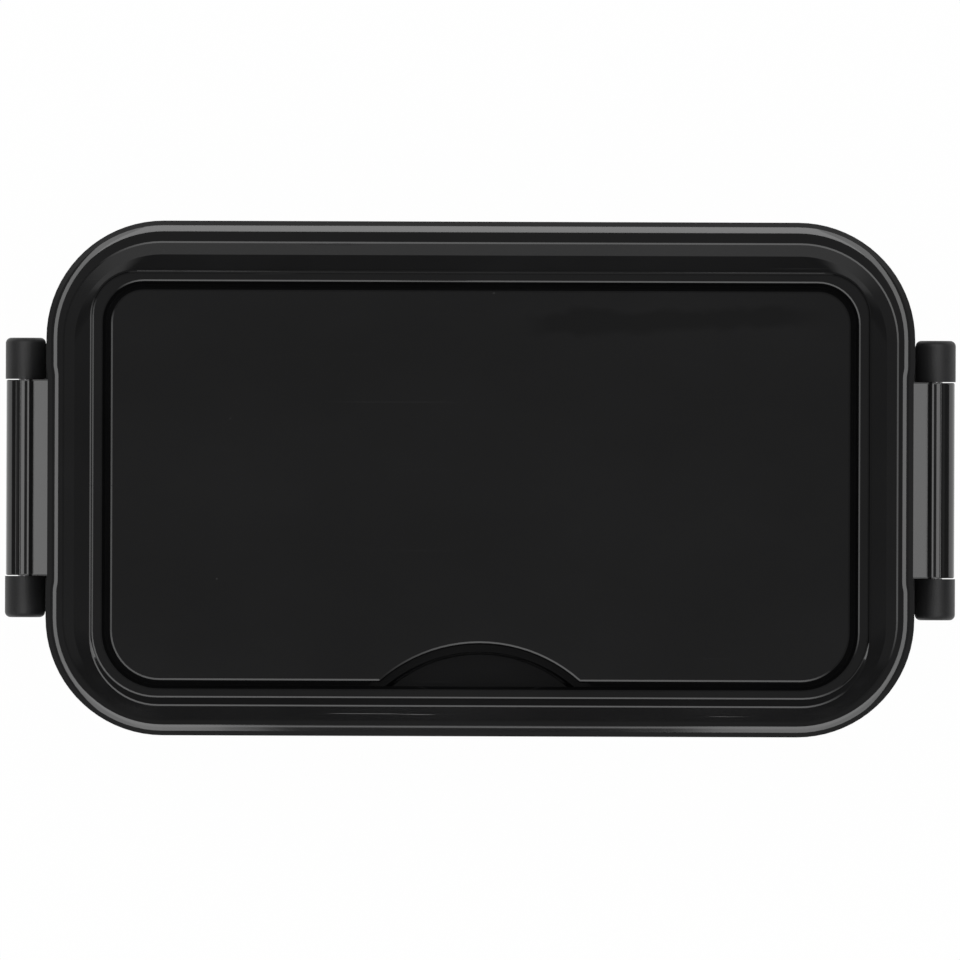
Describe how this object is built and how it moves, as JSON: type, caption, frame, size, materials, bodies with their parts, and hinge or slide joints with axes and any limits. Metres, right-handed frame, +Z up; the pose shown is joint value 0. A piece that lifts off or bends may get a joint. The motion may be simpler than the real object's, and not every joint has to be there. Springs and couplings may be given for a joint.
{
  "type": "lunch box",
  "caption": "Shallow rounded rectangular plastic lunch box with a glossy lid, a lift-out cutlery cover with a thumb notch, and a snap clip on each short side.",
  "frame": {"origin": "centre of the bounding box on the table", "axes": "+X along the long side towards the right clip, -Y towards the thumb notch, +Z up"},
  "size_m": [0.203, 0.1096, 0.0604],
  "materials": {
    "base_matte": "fine matte moulded black",
    "lid_gloss": "polished black",
    "cover_gloss": "polished black",
    "seal": "soft matte grey silicone",
    "clip_gloss": "polished black",
    "pin": "drawn stainless wire",
    "divider_matte": "fine matte moulded black",
    "cutlery": "satin moulded dark grey"
  },
  "bodies": {
    "base": {"base_box": "base_matte", "hinge_pin_left": "pin", "hinge_pin_right": "pin", "divider": "divider_matte"},
    "lid": {"lid": "lid_gloss", "lid_seal": "seal", "fork": "cutlery", "knife": "cutlery", "spoon": "cutlery"},
    "cover": {"cutlery_cover": "cover_gloss"},
    "left_clip": {"clip_left": "clip_gloss"},
    "right_clip": {"clip_right": "clip_gloss"}
  },
  "joints": [
    {"name": "lid_lift", "type": "slide", "parent": "base", "child": "lid", "axis": [0, 0, 1], "range_m": [0, 0.04]},
    {"name": "cover_lift", "type": "slide", "parent": "lid", "child": "cover", "axis": [0, 0, 1], "range_m": [0, 0.04]},
    {"name": "left_clip_swing", "type": "hinge", "parent": "base", "child": "left_clip", "pos_m": [-0.0972, 0, 0.038], "axis": [0, -1, 0], "range_deg": [0, 161]},
    {"name": "right_clip_swing", "type": "hinge", "parent": "base", "child": "right_clip", "pos_m": [0.0972, 0, 0.038], "axis": [0, 1, 0], "range_deg": [0, 161]}
  ],
  "couplings": [
    {"joint": "left_clip_swing", "follows": "lid_lift", "rad_per_m": 70},
    {"joint": "right_clip_swing", "follows": "lid_lift", "rad_per_m": 70}
  ]
}
